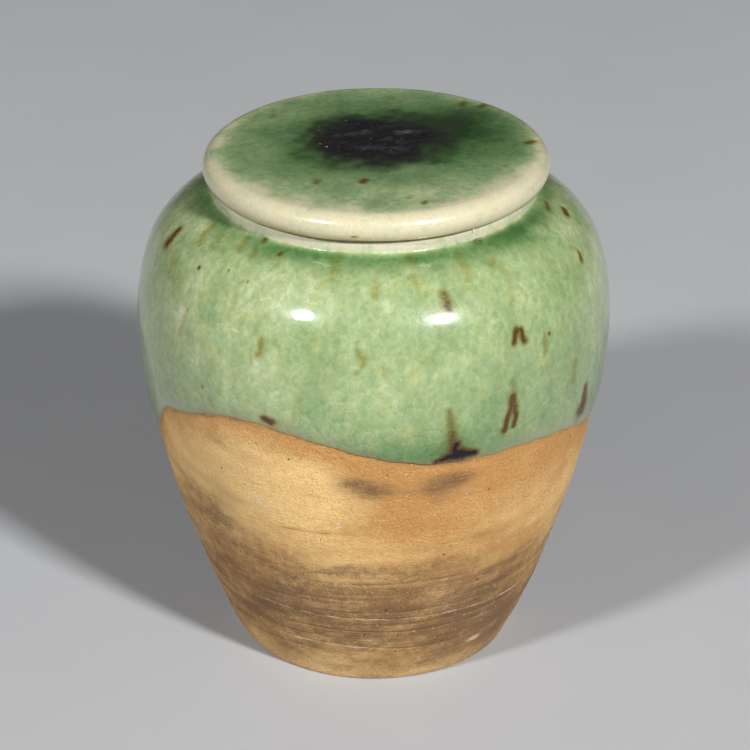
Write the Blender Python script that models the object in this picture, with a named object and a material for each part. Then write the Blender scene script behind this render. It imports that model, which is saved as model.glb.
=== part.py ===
"""A small lidded storage jar in stoneware: turned clay jar, loose disc lid, and the glaze coat on each.

The frame has its origin at the centre of the base and +Z up the turning axis. A bearing is the angle
round the axis, 0 at the front (-Y) and growing towards +X. Lengths below are in millimetres.
"""
import math

import bpy
import numpy as np

MM = 0.001
TURNING_STEPS = 48

# Driving dimensions of the jar.
FOOT_RADIUS = 29.3
BELLY_RADIUS = 49.2
BELLY_HEIGHT = 76.5
GROOVE_HEIGHT = 101.2
COLLAR_RADIUS = 33.1
COLLAR_FILLET = 1.3
FILLET_START_DEGREES = 241.0
LIP_HEIGHT = 104.6
LIP_ROUND = 0.8
MOUTH_RADIUS = 29.0
WALL = 4.5
FLOOR_HEIGHT = 6.5
FOOT_CHAMFER = 0.6

# Driving dimensions of the lid.
LID_GAP = 0.3
LID_THICKNESS = 5.2
LID_RADIUS = 35.2
LID_SEAT_RADIUS = 33.0
LID_TOP_ROUND = 2.4
RING_RADIUS = 28.2
RING_WALL = 4.0
RING_DEPTH = 7.0
RING_ROUND = 0.9

# The glaze coats: a skin over the clay, a fitting gap away from it.
COAT_GAP = 0.3
COAT_THICKNESS = 0.5
JAR_COAT_TOP = 103.8
LID_COAT_EDGE_DEGREES = -48.0

# Where the jar's glaze stopped running: (bearing in degrees, height).
GLAZE_LINE = [(-165, 60.0), (-130, 54.5), (-103, 50.4), (-80, 50.0), (-68, 53.4), (-60, 61.0), (-50, 65.2),
              (-35, 68.6), (-22, 68.4), (-10, 66.0), (6, 62.9), (15, 61.9), (45, 60.8), (56, 59.0), (72, 55.4),
              (105, 56.0), (145, 62.0)]
LEVEL_COAT_HEIGHT = 72.0


def smooth_through(points, samples):
    """Evenly spaced points on a Hermite curve whose tangent at each given point comes from its neighbours."""
    points = np.array(points, float)
    chords = np.linalg.norm(np.diff(points, axis=0), axis=1)
    knots = np.concatenate(([0.0], np.cumsum(chords)))
    slopes = np.gradient(points, knots, axis=0)
    at = np.linspace(0.0, knots[-1], samples)
    index = np.clip(np.searchsorted(knots, at, side="right") - 1, 0, len(knots) - 2)
    span = (knots[index + 1] - knots[index])[:, None]
    t = (at - knots[index])[:, None] / span
    start = (1 + 2 * t) * (1 - t) ** 2 * points[index] + t * (1 - t) ** 2 * span * slopes[index]
    end = t ** 2 * (3 - 2 * t) * points[index + 1] + t ** 2 * (t - 1) * span * slopes[index + 1]
    return start + end


def arc(centre, radii, start, end, steps):
    """Points (radius, height) on an elliptical arc, with angles in degrees from the outward direction."""
    angles = np.radians(np.linspace(start, end, steps + 1))
    return np.column_stack((centre[0] + radii[0] * np.cos(angles), centre[1] + radii[1] * np.sin(angles)))


def offset(path, distance):
    """The path, which runs up its outer side, moved out of the clay along its normals."""
    tangents = np.gradient(path, axis=0)
    tangents /= np.linalg.norm(tangents, axis=1)[:, None]
    return path + distance * np.column_stack((tangents[:, 1], -tangents[:, 0]))


def wall_curve(samples):
    """The clay's outer side from the foot to the groove under the collar."""
    groove_radius = COLLAR_RADIUS + COLLAR_FILLET * (1 + math.cos(math.radians(FILLET_START_DEGREES)))
    return smooth_through([(FOOT_RADIUS, 0.0), (32.1, 6.0), (37.7, 20.0), (42.9, 36.0), (46.6, 52.0),
                           (48.7, 65.0), (BELLY_RADIUS, BELLY_HEIGHT), (48.0, 85.0), (45.3, 92.0),
                           (40.8, 97.2), (groove_radius, GROOVE_HEIGHT)], samples)


def collar_curve(top):
    """The rest of the groove's fillet, and the collar's upright side to the given height."""
    centre = (COLLAR_RADIUS + COLLAR_FILLET,
              GROOVE_HEIGHT - COLLAR_FILLET * math.sin(math.radians(FILLET_START_DEGREES)))
    fillet = arc(centre, (COLLAR_FILLET, COLLAR_FILLET), FILLET_START_DEGREES, 180, 3)
    return np.vstack((fillet[1:], [(COLLAR_RADIUS, top)]))


def turned_solid(name, outline_at, material):
    """One closed body of revolution.

    outline_at(bearing) gives the closed outline at that bearing as (radius, height) points that run up the
    outer side, and the number of points stays the same all round. A point on the axis becomes one pole.
    """
    bearings = np.arange(TURNING_STEPS) * 2 * math.pi / TURNING_STEPS
    outlines = [outline_at(bearing) for bearing in bearings]
    points = len(outlines[0])
    vertices = []
    index = np.zeros((TURNING_STEPS, points), int)
    for row in range(points):
        on_axis = outlines[0][row][0] == 0.0
        for step, bearing in enumerate(bearings):
            if step == 0 or not on_axis:
                radius, height = outlines[step][row]
                vertices.append((MM * radius * math.sin(bearing), -MM * radius * math.cos(bearing), MM * height))
            index[step, row] = len(vertices) - 1
    faces = []
    for step in range(TURNING_STEPS):
        onward = (step + 1) % TURNING_STEPS
        for row in range(points):
            above = (row + 1) % points
            corners = [index[step, row], index[onward, row], index[onward, above], index[step, above]]
            face = [int(corner) for place, corner in enumerate(corners) if corner not in corners[:place]]
            if len(face) > 2:
                faces.append(face)
    mesh = bpy.data.meshes.new(name)
    mesh.from_pydata(vertices, [], faces)
    mesh.shade_smooth()
    mesh.set_sharp_from_angle(angle=math.radians(40))
    mesh.materials.append(material)
    piece = bpy.data.objects.new(name, mesh)
    bpy.context.scene.collection.objects.link(piece)
    return piece


def finish(name, colour, roughness):
    """A plain dielectric material."""
    material = bpy.data.materials.new(name)
    material.use_nodes = True
    shader = material.node_tree.nodes["Principled BSDF"]
    shader.inputs["Base Color"].default_value = (*colour, 1.0)
    shader.inputs["Roughness"].default_value = roughness
    shader.inputs["Metallic"].default_value = 0.0
    return material


wall_rows = wall_curve(20)


def make_jar_body(clay):
    """The turned clay jar: foot, belly, shoulder, collar, lip, and the hollow inside."""
    foot = [(0.0, 0.0), (FOOT_RADIUS - FOOT_CHAMFER, 0.0), (FOOT_RADIUS + FOOT_CHAMFER / 2, FOOT_CHAMFER)]
    round_height = LIP_HEIGHT - LIP_ROUND
    lip_radii = (LIP_ROUND, LIP_ROUND)
    outer_lip = arc((COLLAR_RADIUS - LIP_ROUND, round_height), lip_radii, 0, 90, 2)
    inner_lip = arc((MOUTH_RADIUS + LIP_ROUND, round_height), lip_radii, 90, 180, 2)
    inner = offset(wall_curve(80), -WALL)[::-1]
    above_floor = inner[:, 1] > FLOOR_HEIGHT + 7.0
    clear_of_mouth = inner[:, 0] > MOUTH_RADIUS + 1.0
    inner = inner[above_floor & clear_of_mouth]
    inner = inner[np.linspace(0, len(inner) - 1, 15).astype(int)]
    throat = [(MOUTH_RADIUS, inner[0][1] + 1.2)]
    floor = [(25.5, FLOOR_HEIGHT + 3.0), (21.0, FLOOR_HEIGHT + 0.6), (15.0, FLOOR_HEIGHT), (0.0, FLOOR_HEIGHT)]
    outline = np.vstack((foot, wall_rows[1:], collar_curve(round_height)[:-1], outer_lip, inner_lip, throat,
                         inner, floor))
    return turned_solid("jar_body", lambda bearing: outline, clay)


def make_jar_glaze(glaze):
    """The jar's glaze coat, from the wavy line where it stopped running up to the collar's edge."""
    bearings, heights = np.array(GLAZE_LINE, float).T
    wrapped = np.concatenate((bearings - 360, bearings, bearings + 360))
    line = smooth_through(np.column_stack((wrapped, np.tile(heights, 3))), 600)
    dense = wall_curve(400)
    level_rows = wall_rows[wall_rows[:, 1] > LEVEL_COAT_HEIGHT]
    collar = collar_curve(JAR_COAT_TOP)

    def outline_at(bearing):
        lowest = np.interp((math.degrees(bearing) + 180) % 360 - 180, line[:, 0], line[:, 1])
        rising = np.linspace(lowest, LEVEL_COAT_HEIGHT, 3)
        rising = np.column_stack((np.interp(rising, dense[:, 1], dense[:, 0]), rising))
        path = np.vstack((rising, level_rows, collar))
        return np.vstack((offset(path, COAT_GAP + COAT_THICKNESS), offset(path, COAT_GAP)[::-1]))

    return turned_solid("jar_glaze", outline_at, glaze)


lid_seat = LIP_HEIGHT + LID_GAP
lid_widest = lid_seat + LID_THICKNESS - LID_TOP_ROUND
lid_top = lid_seat + LID_THICKNESS


def lid_edge(start_degrees, steps):
    """The lid's rounded clay side: a slack curve up from the seat, then a tighter one on to the top."""
    lower = arc((LID_SEAT_RADIUS, lid_widest), (LID_RADIUS - LID_SEAT_RADIUS, lid_widest - lid_seat),
                start_degrees, 0, steps)
    upper = arc((LID_RADIUS - LID_TOP_ROUND, lid_widest), (LID_TOP_ROUND, LID_TOP_ROUND), 0, 90, 4)
    return np.vstack((lower, upper[1:]))


def make_lid_body(clay):
    """The turned clay lid: a disc, and the ring under it that keeps it centred in the mouth."""
    inner_radius = RING_RADIUS - RING_WALL
    round_height = lid_seat - RING_DEPTH + RING_ROUND
    ring_radii = (RING_ROUND, RING_ROUND)
    inner_round = arc((inner_radius + RING_ROUND, round_height), ring_radii, 180, 270, 2)
    outer_round = arc((RING_RADIUS - RING_ROUND, round_height), ring_radii, 270, 360, 2)
    outline = np.vstack(([(0.0, lid_seat), (inner_radius, lid_seat)], inner_round, outer_round,
                         [(RING_RADIUS, lid_seat)], lid_edge(-90, 4), [(0.0, lid_top)]))
    return turned_solid("lid_body", lambda bearing: outline, clay)


def make_lid_glaze(glaze):
    """The lid's glaze coat, over the top and round the edge, stopping short of the seat."""
    path = lid_edge(LID_COAT_EDGE_DEGREES, 3)
    under = lid_top + COAT_GAP
    outline = np.vstack((offset(path, COAT_GAP + COAT_THICKNESS), [(0.0, under + COAT_THICKNESS), (0.0, under)],
                         offset(path, COAT_GAP)[::-1]))
    return turned_solid("lid_glaze", lambda bearing: outline, glaze)


for startup_object in list(bpy.data.objects):
    bpy.data.objects.remove(startup_object, do_unlink=True)

make_jar_body(finish("jar clay", (0.48, 0.29, 0.13), 0.85))
make_jar_glaze(finish("jar glaze", (0.17, 0.32, 0.15), 0.15))
lid_pieces = [make_lid_body(finish("lid clay", (0.50, 0.32, 0.16), 0.85)),
              make_lid_glaze(finish("lid glaze", (0.30, 0.42, 0.22), 0.15))]

# The lid lifts straight up off the jar, so its pieces hang from one empty on the turning axis.
lid_lift = bpy.data.objects.new("lid_lift_axis", None)
bpy.context.scene.collection.objects.link(lid_lift)
for lid_piece in lid_pieces:
    lid_piece.parent = lid_lift
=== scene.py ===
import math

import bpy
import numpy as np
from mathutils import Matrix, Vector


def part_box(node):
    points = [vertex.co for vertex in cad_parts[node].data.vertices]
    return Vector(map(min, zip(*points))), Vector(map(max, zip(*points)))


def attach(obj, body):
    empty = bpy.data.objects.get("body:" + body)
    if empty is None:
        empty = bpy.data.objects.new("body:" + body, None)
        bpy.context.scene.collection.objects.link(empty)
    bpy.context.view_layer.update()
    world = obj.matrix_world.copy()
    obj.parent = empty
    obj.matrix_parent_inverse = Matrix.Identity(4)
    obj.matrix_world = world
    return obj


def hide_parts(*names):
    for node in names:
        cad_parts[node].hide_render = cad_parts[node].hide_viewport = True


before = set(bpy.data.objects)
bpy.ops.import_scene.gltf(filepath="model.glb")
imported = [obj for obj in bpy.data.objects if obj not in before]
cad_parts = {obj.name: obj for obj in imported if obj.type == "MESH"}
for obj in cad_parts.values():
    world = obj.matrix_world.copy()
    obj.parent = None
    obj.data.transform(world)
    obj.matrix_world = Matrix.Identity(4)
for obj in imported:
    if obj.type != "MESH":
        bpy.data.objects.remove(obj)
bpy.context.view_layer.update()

# A small stoneware storage jar with a loose disc lid, thrown by hand and glazed green on its upper half.
# Lengths are in millimetres in the frame's axes, and become metres as each mesh is made. A bearing is the
# angle round the turning axis, 0 at the front (-Y) and growing towards +X.

# ----------------------------------------------------------
# The jar's clay: one thrown and turned body of coarse tan stoneware, bare below the glaze, on the lip
# and inside. The wall leans out from a flat cut foot to a high belly, rounds in over the shoulder and
# ends in a short upright collar. A turning tool has scored its lower half, which darkens towards the
# bottom, and kiln smoke has stained it in patches.
# ----------------------------------------------------------
MM = 0.001
FOOT_RADIUS = 29.3
FOOT_ROUND = 0.75
BELLY_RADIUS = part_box("jar_body")[1].x / MM - 0.05
LIP_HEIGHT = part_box("jar_body")[1].z / MM
COLLAR_RADIUS = 33.1
COLLAR_FILLET = 1.3
GROOVE_HEIGHT = LIP_HEIGHT - 3.4
GROOVE_RADIUS = COLLAR_RADIUS + 0.515 * COLLAR_FILLET
MOUTH_RADIUS = 29.0
LIP_ROUND = 0.8
WALL = 4.5
FLOOR_HEIGHT = 6.5
SCORE_WIDTH = 0.17
TURN = 2 * math.pi


def smooth_through(points, samples):
    """Evenly spaced points on a cubic Hermite curve; each tangent is the slope between the neighbours."""
    points = np.array(points, float)
    knots = np.concatenate(([0.0], np.cumsum(np.linalg.norm(np.diff(points, axis=0), axis=1))))
    slopes = np.gradient(points, knots, axis=0)
    at = np.linspace(0.0, knots[-1], samples)
    index = np.clip(np.searchsorted(knots, at, side="right") - 1, 0, len(knots) - 2)
    span = (knots[index + 1] - knots[index])[:, None]
    t = (at - knots[index])[:, None] / span
    start = (1 + 2 * t) * (1 - t) ** 2 * points[index] + t * (1 - t) ** 2 * span * slopes[index]
    end = t ** 2 * (3 - 2 * t) * points[index + 1] + t ** 2 * (t - 1) * span * slopes[index + 1]
    return start + end


def arc(centre, radii, start, end, steps):
    """Round or elliptical arc: centre plus radii times (cos, sin) of evenly spaced angles, in degrees."""
    angles = np.radians(np.linspace(start, end, steps + 1))[:, None]
    return np.array(centre) + np.array(radii) * np.hstack((np.cos(angles), np.sin(angles)))


def straight(first, last, steps):
    """Evenly spaced points on the straight line between two (radius, height) points."""
    return np.linspace(first, last, steps)


def normals_of(path):
    """Unit normals of a (radius, height) path that runs up the outside: its tangents turned to the right."""
    tangents = np.gradient(path, axis=0)
    tangents /= np.maximum(np.linalg.norm(tangents, axis=1), 1e-9)[:, None]
    return np.column_stack((tangents[:, 1], -tangents[:, 0]))


def around(path, bearings, relief=0.0):
    """Points of a turned surface: the path swung round the axis, each moved along its normal by relief."""
    normals = normals_of(path)
    radius = path[:, :1] + normals[:, :1] * relief + 0 * bearings
    height = path[:, 1:] + normals[:, 1:] * relief + 0 * bearings
    radius[path[:, 0] == 0.0] = 0.0
    return np.stack((radius * np.sin(bearings), -radius * np.cos(bearings), height), axis=-1)


def ripples(points, wavelength, seed, waves=28):
    """Smooth random field, about -1 to 1: the sum of plane waves near one wavelength in random directions."""
    draw = np.random.default_rng(seed)
    directions = draw.normal(size=(waves, 3))
    directions /= np.linalg.norm(directions, axis=1)[:, None]
    turns = directions * (TURN / wavelength * draw.uniform(0.7, 1.35, waves))[:, None]
    phases = draw.uniform(0, TURN, waves)
    total = np.zeros(points.shape[:-1])
    for turn, phase in zip(turns, phases):
        total += np.cos(points @ turn + phase)
    return total / math.sqrt(waves)


def unit(values):
    """Values kept from 0 to 1."""
    return np.clip(values, 0, 1)


def bell(values, middle, width):
    """Bell curve, 1 at the middle: exp(-((value - middle) / width)^2)."""
    return np.exp(-((values - middle) / width) ** 2)


def degrees_off(bearing, middle):
    """Signed angle, in degrees, from a middle bearing in degrees to a bearing in radians."""
    return (np.degrees(bearing) - middle + 180) % 360 - 180


def patches(bearing, height, *bells):
    """Sum of bells over bearing and height: each (bearing, height, half width, half height, strength)."""
    return sum(strength * bell(degrees_off(bearing, middle), 0, across) * bell(height, level, along)
               for middle, level, across, along, strength in bells)


def turned_piece(name, points, looped, **marks):
    """A mesh from a grid of points, rows along the outline by columns round the axis.

    Neighbouring rows and columns are joined by quads that face outwards. A first or last row on the axis
    becomes one pole, and a looped outline joins its last row to its first. marks are values for each point.
    """
    rows, columns = points.shape[:2]
    index = np.arange(rows * columns).reshape(rows, columns)
    kept = np.ones((rows, columns), bool)
    for row in (0, rows - 1):
        if np.allclose(points[row, :, :2], 0.0):
            index[row] = index[row, 0]
            kept[row, 1:] = False
    renumbered = np.cumsum(kept.ravel()) - 1
    index = renumbered[index]
    lower, upper = (index, np.roll(index, -1, axis=0)) if looped else (index[:-1], index[1:])
    quads = np.stack((lower, np.roll(lower, -1, axis=1), np.roll(upper, -1, axis=1), upper), axis=-1)
    quads = quads.reshape(-1, 4)
    at_first = quads[:, 0] == quads[:, 1]
    at_last = quads[:, 2] == quads[:, 3]
    faces = quads[~(at_first | at_last)].tolist()
    faces += quads[at_first][:, 1:].tolist() + quads[at_last][:, :3].tolist()
    mesh = bpy.data.meshes.new(name)
    mesh.from_pydata((points[kept] * MM).tolist(), [], faces)
    mesh.shade_smooth()
    for mark, values in marks.items():
        values = np.asarray(values, float)
        kind, key = ("FLOAT_VECTOR", "vector") if values.ndim == 3 else ("FLOAT", "value")
        mesh.attributes.new(mark, kind, "POINT").data.foreach_set(key, values[kept].ravel())
    piece = bpy.data.objects.new(name, mesh)
    bpy.context.scene.collection.objects.link(piece)
    return piece


class Recipe:
    """A material being mixed: each call adds one node to it and returns that node's main output."""

    def __init__(self, name):
        self.material = bpy.data.materials.new(name)
        self.material.use_nodes = True
        self.tree = self.material.node_tree
        self.shader = self.tree.nodes["Principled BSDF"]
        place = self.add("ShaderNodeTexCoord").outputs["Object"]
        self.mm = self.vector("SCALE", place, scale=1 / MM)

    def add(self, kind, inputs=None, **settings):
        node = self.tree.nodes.new(kind)
        for setting, value in settings.items():
            setattr(node, setting, value)
        for socket, value in (inputs or {}).items():
            self.feed(node.inputs[socket], value)
        return node

    def feed(self, socket, value):
        if isinstance(value, bpy.types.NodeSocket):
            self.tree.links.new(value, socket)
        else:
            socket.default_value = value

    def vector(self, operation, first, second=None, scale=None):
        inputs = {0: first}
        if second is not None:
            inputs[1] = second
        if scale is not None:
            inputs["Scale"] = scale
        return self.add("ShaderNodeVectorMath", inputs, operation=operation).outputs["Vector"]

    def math(self, operation, first, second=0.0, third=0.0):
        inputs = {0: first, 1: second, 2: third}
        return self.add("ShaderNodeMath", inputs, operation=operation).outputs["Value"]

    def plus(self, first, second):
        return self.math("ADD", first, second)

    def times(self, first, second):
        return self.math("MULTIPLY", first, second)

    def centred(self, value, spread):
        """A value from 0 to 1, moved to run from -spread / 2 to spread / 2."""
        return self.math("MULTIPLY_ADD", value, spread, -spread / 2)

    def stretched(self, *factors):
        """The position on the piece, multiplied by a factor along each axis."""
        return self.vector("MULTIPLY", self.mm, factors)

    def mark(self, name):
        """A value laid down on the mesh, point by point."""
        return self.add("ShaderNodeAttribute", attribute_name=name).outputs["Fac"]

    def place(self, name):
        """A position laid down on the mesh, point by point."""
        return self.add("ShaderNodeAttribute", attribute_name=name).outputs["Vector"]

    def noise(self, scale, detail=2.0, roughness=0.5, at=None, colour=False):
        inputs = {"Vector": self.mm if at is None else at, "Scale": scale, "Detail": detail,
                  "Roughness": roughness}
        return self.add("ShaderNodeTexNoise", inputs).outputs["Color" if colour else "Fac"]

    def cells(self, scale, at=None, feature="F1", output="Distance", dimensions="3D"):
        inputs = {"Vector": self.mm if at is None else at, "Scale": scale}
        settings = {"feature": feature, "voronoi_dimensions": dimensions}
        return self.add("ShaderNodeTexVoronoi", inputs, **settings).outputs[output]

    def step(self, value, low, high, start=0.0, end=1.0):
        """Smooth step of a value from start at low to end at high."""
        inputs = {0: value, 1: low, 2: high, 3: start, 4: end}
        return self.add("ShaderNodeMapRange", inputs, interpolation_type="SMOOTHSTEP").outputs[0]

    def mix(self, amount, first, second, blend="MIX"):
        inputs = {0: amount, 6: paint(first), 7: paint(second)}
        return self.add("ShaderNodeMix", inputs, data_type="RGBA", blend_type=blend).outputs[2]

    def grey(self, value):
        return self.add("ShaderNodeCombineColor", {0: value, 1: value, 2: value}).outputs[0]

    def ramp(self, value, stops):
        """Colour read off a row of (position, colour) stops."""
        node = self.add("ShaderNodeValToRGB", {0: value})
        bar = node.color_ramp
        while len(bar.elements) < len(stops):
            bar.elements.new(0.5)
        for element, (position, colour) in zip(bar.elements, stops):
            element.position = position
            element.color = paint(colour)
        return node.outputs["Color"]

    def relief(self, height, depth, below=None):
        """Fine relief: the height field times depth in mm, on top of the relief below."""
        inputs = {"Height": height, "Strength": 1.0, "Distance": depth * MM}
        if below is not None:
            inputs["Normal"] = below
        return self.add("ShaderNodeBump", inputs).outputs["Normal"]

    def finish(self, **inputs):
        for socket, value in inputs.items():
            self.feed(self.shader.inputs[socket.replace("_", " ")], value)
        return self.material


def paint(colour):
    """A colour with its alpha, or a socket passed on."""
    return (*colour, 1.0) if isinstance(colour, tuple) and len(colour) == 3 else colour


def stoneware(name):
    """Bare stoneware: tan body flashed orange, stained by smoke grain by grain, with pits and pale grit."""
    tan, orange, sand = (0.77, 0.505, 0.203), (0.49, 0.246, 0.073), (0.66, 0.53, 0.34)
    smoke, pit = (0.14, 0.072, 0.031), (0.035, 0.022, 0.013)
    clay = Recipe(name)
    grain = clay.noise(2.3, 3.0, 0.7)
    clumps = clay.noise(0.5, 3.0, 0.6)
    drift = clay.noise(0.06, 3.0, 0.6)
    streaks = clay.noise(1.0, 3.0, 0.6, at=clay.stretched(0.05, 0.05, 1.5))
    warmth = clay.plus(clay.mark("flash"), clay.centred(drift, 1.4))
    warmth = clay.plus(warmth, clay.centred(clumps, 0.7))
    colour = clay.mix(clay.step(warmth, 0.0, 1.0), tan, orange)
    stained = clay.mark("stain")
    scratchy = clay.times(clay.math("SUBTRACT", streaks, 0.5), clay.step(stained, 0.15, 0.6))
    speckle = clay.plus(clay.centred(grain, 3.0), scratchy)
    speckle = clay.plus(speckle, clay.centred(clumps, 1.2))
    smoked = clay.plus(stained, clay.times(speckle, clay.step(stained, 0.0, 0.6, 0.22, 0.72)))
    colour = clay.mix(clay.step(smoked, -0.05, 1.25, 0.0, 0.92), colour, smoke)
    dusted = clay.plus(clay.mark("dust"), clay.centred(grain, 1.8))
    colour = clay.mix(clay.step(dusted, 0.25, 0.9, 0.0, 0.75), colour, sand)
    shade = clay.math("MULTIPLY_ADD", grain, 1.3, 0.34)
    shade = clay.times(shade, clay.math("MULTIPLY_ADD", clumps, 0.36, 0.82))
    colour = clay.mix(1.0, colour, clay.grey(shade), "MULTIPLY")
    wobble = clay.vector("ADD", clay.mm, clay.vector("SCALE", clay.noise(1.6, colour=True), scale=0.9))
    chance = clay.cells(0.42, at=wobble, output="Color")
    pits = clay.step(clay.plus(clay.cells(0.42, at=wobble), clay.times(chance, 0.26)), 0.11, 0.16, 1.0, 0.0)
    colour = clay.mix(clay.times(pits, 0.8), colour, pit)
    grit = clay.times(clay.step(clay.cells(0.85, at=wobble), 0.1, 0.24, 1.0, 0.0),
                     clay.step(clay.cells(0.85, at=wobble, output="Color"), 0.55, 0.65))
    colour = clay.mix(clay.times(grit, 0.5), colour, sand)
    rough = clay.math("SUBTRACT", clay.math("MULTIPLY_ADD", grain, 1.0, clumps), clay.times(pits, 1.6))
    bumps = clay.relief(scratchy, 0.05, clay.relief(rough, 0.24))
    return clay.finish(Base_Color=colour, Roughness=0.85, Normal=bumps)


jar_wall = smooth_through([(FOOT_RADIUS, 0.0), (32.1, 6.0), (37.7, 20.0), (42.9, 36.0), (46.6, 52.0),
                           (48.7, 65.0), (BELLY_RADIUS, 76.5), (48.0, 85.0), (45.3, 92.0), (40.8, 97.2),
                           (GROOVE_RADIUS, GROOVE_HEIGHT)], 1600)


def on_wall(heights):
    """Points (radius, height) on the jar's clay wall at the given heights."""
    return np.column_stack((np.interp(heights, jar_wall[:, 1], jar_wall[:, 0]), heights))


def collar_side(top, steps):
    """The groove's fillet, then straight up the collar."""
    fillet = arc((COLLAR_RADIUS + COLLAR_FILLET, GROOVE_HEIGHT + 0.875 * COLLAR_FILLET),
                 COLLAR_FILLET, 241, 180, steps)
    rise = straight((COLLAR_RADIUS, fillet[-1, 1]), (COLLAR_RADIUS, top), steps + 1)
    return np.vstack((fillet[1:], rise[1:]))


def jar_outline():
    """The whole section: base, foot, wall, collar, lip, throat, hollow and floor, ending on the axis."""
    base = straight((0, 0), (FOOT_RADIUS - 1.2, 0), 26)
    foot = arc((FOOT_RADIUS - 0.55, FOOT_ROUND), FOOT_ROUND, -90, -25, 5)
    heights = np.concatenate((np.linspace(0.8, 8.0, 15), np.linspace(8.16, 22.0, 87),
                              np.linspace(22.5, 72.0, 100), np.linspace(74.5, GROOVE_HEIGHT, 20)))
    round_height = LIP_HEIGHT - LIP_ROUND
    lip = arc((COLLAR_RADIUS - LIP_ROUND, round_height), LIP_ROUND, 0, 90, 5)
    lip = np.vstack((lip, arc((MOUTH_RADIUS + LIP_ROUND, round_height), LIP_ROUND, 90, 180, 5)))
    hollow = (jar_wall - WALL * normals_of(jar_wall))[::-1]
    hollow = hollow[(hollow[:, 1] > FLOOR_HEIGHT + 7.0) & (hollow[:, 1] < GROOVE_HEIGHT - 4.5)][::80]
    inside = np.vstack(([(MOUTH_RADIUS, round_height), (MOUTH_RADIUS, GROOVE_HEIGHT - 0.6),
                         (MOUTH_RADIUS + 0.8, GROOVE_HEIGHT - 2.8)], hollow,
                        [(25.5, FLOOR_HEIGHT + 3.0), (21.0, FLOOR_HEIGHT + 0.6), (14.0, FLOOR_HEIGHT),
                         (0.0, FLOOR_HEIGHT)]))
    return np.vstack((base, foot, on_wall(heights), collar_side(round_height - 0.1, 4), lip,
                      smooth_through(inside, 86)[1:]))


def thrown_relief(points):
    """How far the thrown wall stands off its true curve: broad unevenness plus two sizes of turning band."""
    level = points * (0.05, 0.05, 1)
    return 0.03 * ripples(level, 7.5, 1) + 0.015 * ripples(level, 2.6, 2) + 0.16 * ripples(points, 34, 3)


def under_collar(heights):
    """1 on the wall, falling evenly to 0 over the last three millimetres below the collar."""
    return unit((LIP_HEIGHT - 2.6 - heights) / 3.0)


jar_path = jar_outline()
clay_bearings = np.linspace(0, TURN, 264, endpoint=False)
still = around(jar_path, clay_bearings)
bearing = np.broadcast_to(clay_bearings, still.shape[:2])
height = still[..., 2]
outside = (np.arange(len(jar_path)) < np.argmax(jar_path[:, 1]))[:, None]
wall_only = outside * unit((height - 0.4) / 2.0) * under_collar(height)
flat_base = (jar_path[:, 1] == 0.0)[:, None] * (jar_path[:, 0] < FOOT_RADIUS - 2.0)[:, None]

# Where the glaze stopped running: (bearing in degrees, height).
glaze_line = [(-165, 60), (-130, 54.5), (-105, 50.3), (-84, 50.2), (-73, 53.6), (-64.5, 60.4), (-53, 64.2),
              (-35, 68.6), (-22, 68.4), (-10, 66), (6, 62.9), (15, 61.9), (45, 60.8), (56, 59),
              (72, 55.4), (105, 56), (145, 62)]


def height_of_line(bearings):
    """Height of the glaze's edge at each bearing: a smooth closed curve through the line's points."""
    degrees, heights = np.array(glaze_line, float).T
    wrapped = np.concatenate((degrees - 360, degrees, degrees + 360))
    curve = smooth_through(np.column_stack((wrapped, np.tile(heights, 3))), 900)
    return np.interp(degrees_off(bearings, 0), curve[:, 0], curve[:, 1])


# Scored rings: (height, drop in mm per radian of bearing, middle bearing, half width, depth, tone), with
# bearings in degrees. A tone under 0 is a pale fresh scratch, and one over 0 a dark ring with smoke in it.
scored = [(19.6, 1.2, 8, 52, 0.16, -0.9), (15.8, 0.6, 4, 38, 0.2, 0.9), (10.9, 0.9, -20, 26, 0.12, -0.8),
          (10.5, 0.9, 14, 24, 0.14, 0.8), (13.4, 0.3, -26, 30, 0.1, 0.5), (17.6, 0.4, 34, 26, 0.1, 0.6),
          (21.6, 0.2, 20, 44, 0.12, 0.35), (24.6, 0.2, -10, 60, 0.08, 0.3), (30.2, 0.5, 12, 40, 0.1, 0.45),
          (33.1, 0.2, -24, 26, 0.08, 0.4), (40, 0.4, 45, 34, 0.08, 0.2), (18.4, -0.5, 160, 60, 0.14, 0.6),
          (14.2, 0.4, -130, 44, 0.14, -0.7), (27, 0.3, 175, 50, 0.1, 0.4), (9.2, 0.2, 110, 40, 0.12, 0.6)]
draw = np.random.default_rng(3)
for level in np.concatenate((draw.uniform(6, 34, 34), draw.uniform(34, 58, 12))):
    scored.append((level, draw.uniform(-0.3, 0.5), draw.uniform(-180, 180), draw.uniform(9, 30),
                   draw.uniform(0.02, 0.07), draw.choice([-0.35, 0.3, 0.5])))
rings = np.zeros(still.shape[:2])
ring_stain = np.zeros(still.shape[:2])
ring_dust = np.zeros(still.shape[:2])
wander = 0.22 * ripples(still * (1, 1, 0.2), 22, 5)
for level, drop, middle, spread, depth, tone in scored:
    off = degrees_off(bearing, middle)
    reach = unit((spread - np.abs(off)) / 8.0)
    line = reach * bell(height + drop * np.radians(off) + wander, level, SCORE_WIDTH)
    rings += depth * line
    ring_stain += max(tone, 0) * line
    ring_dust += max(-tone, 0) * line
relief = wall_only * (thrown_relief(still) - rings)
hollow_rings = ~outside * unit((GROOVE_HEIGHT - 8 - height) / 4) * unit(jar_path[:, :1] / 20)
relief += 0.28 * hollow_rings * np.cos(TURN * (height / 6.5 - bearing / TURN))
cut_marks = ripples(still * (0.25, 1, 0) + (0, 0.02, 0) * still ** 2, 3.2, 4)
relief -= 0.1 * flat_base * np.clip(1 + cut_marks, 0, None)

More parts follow.
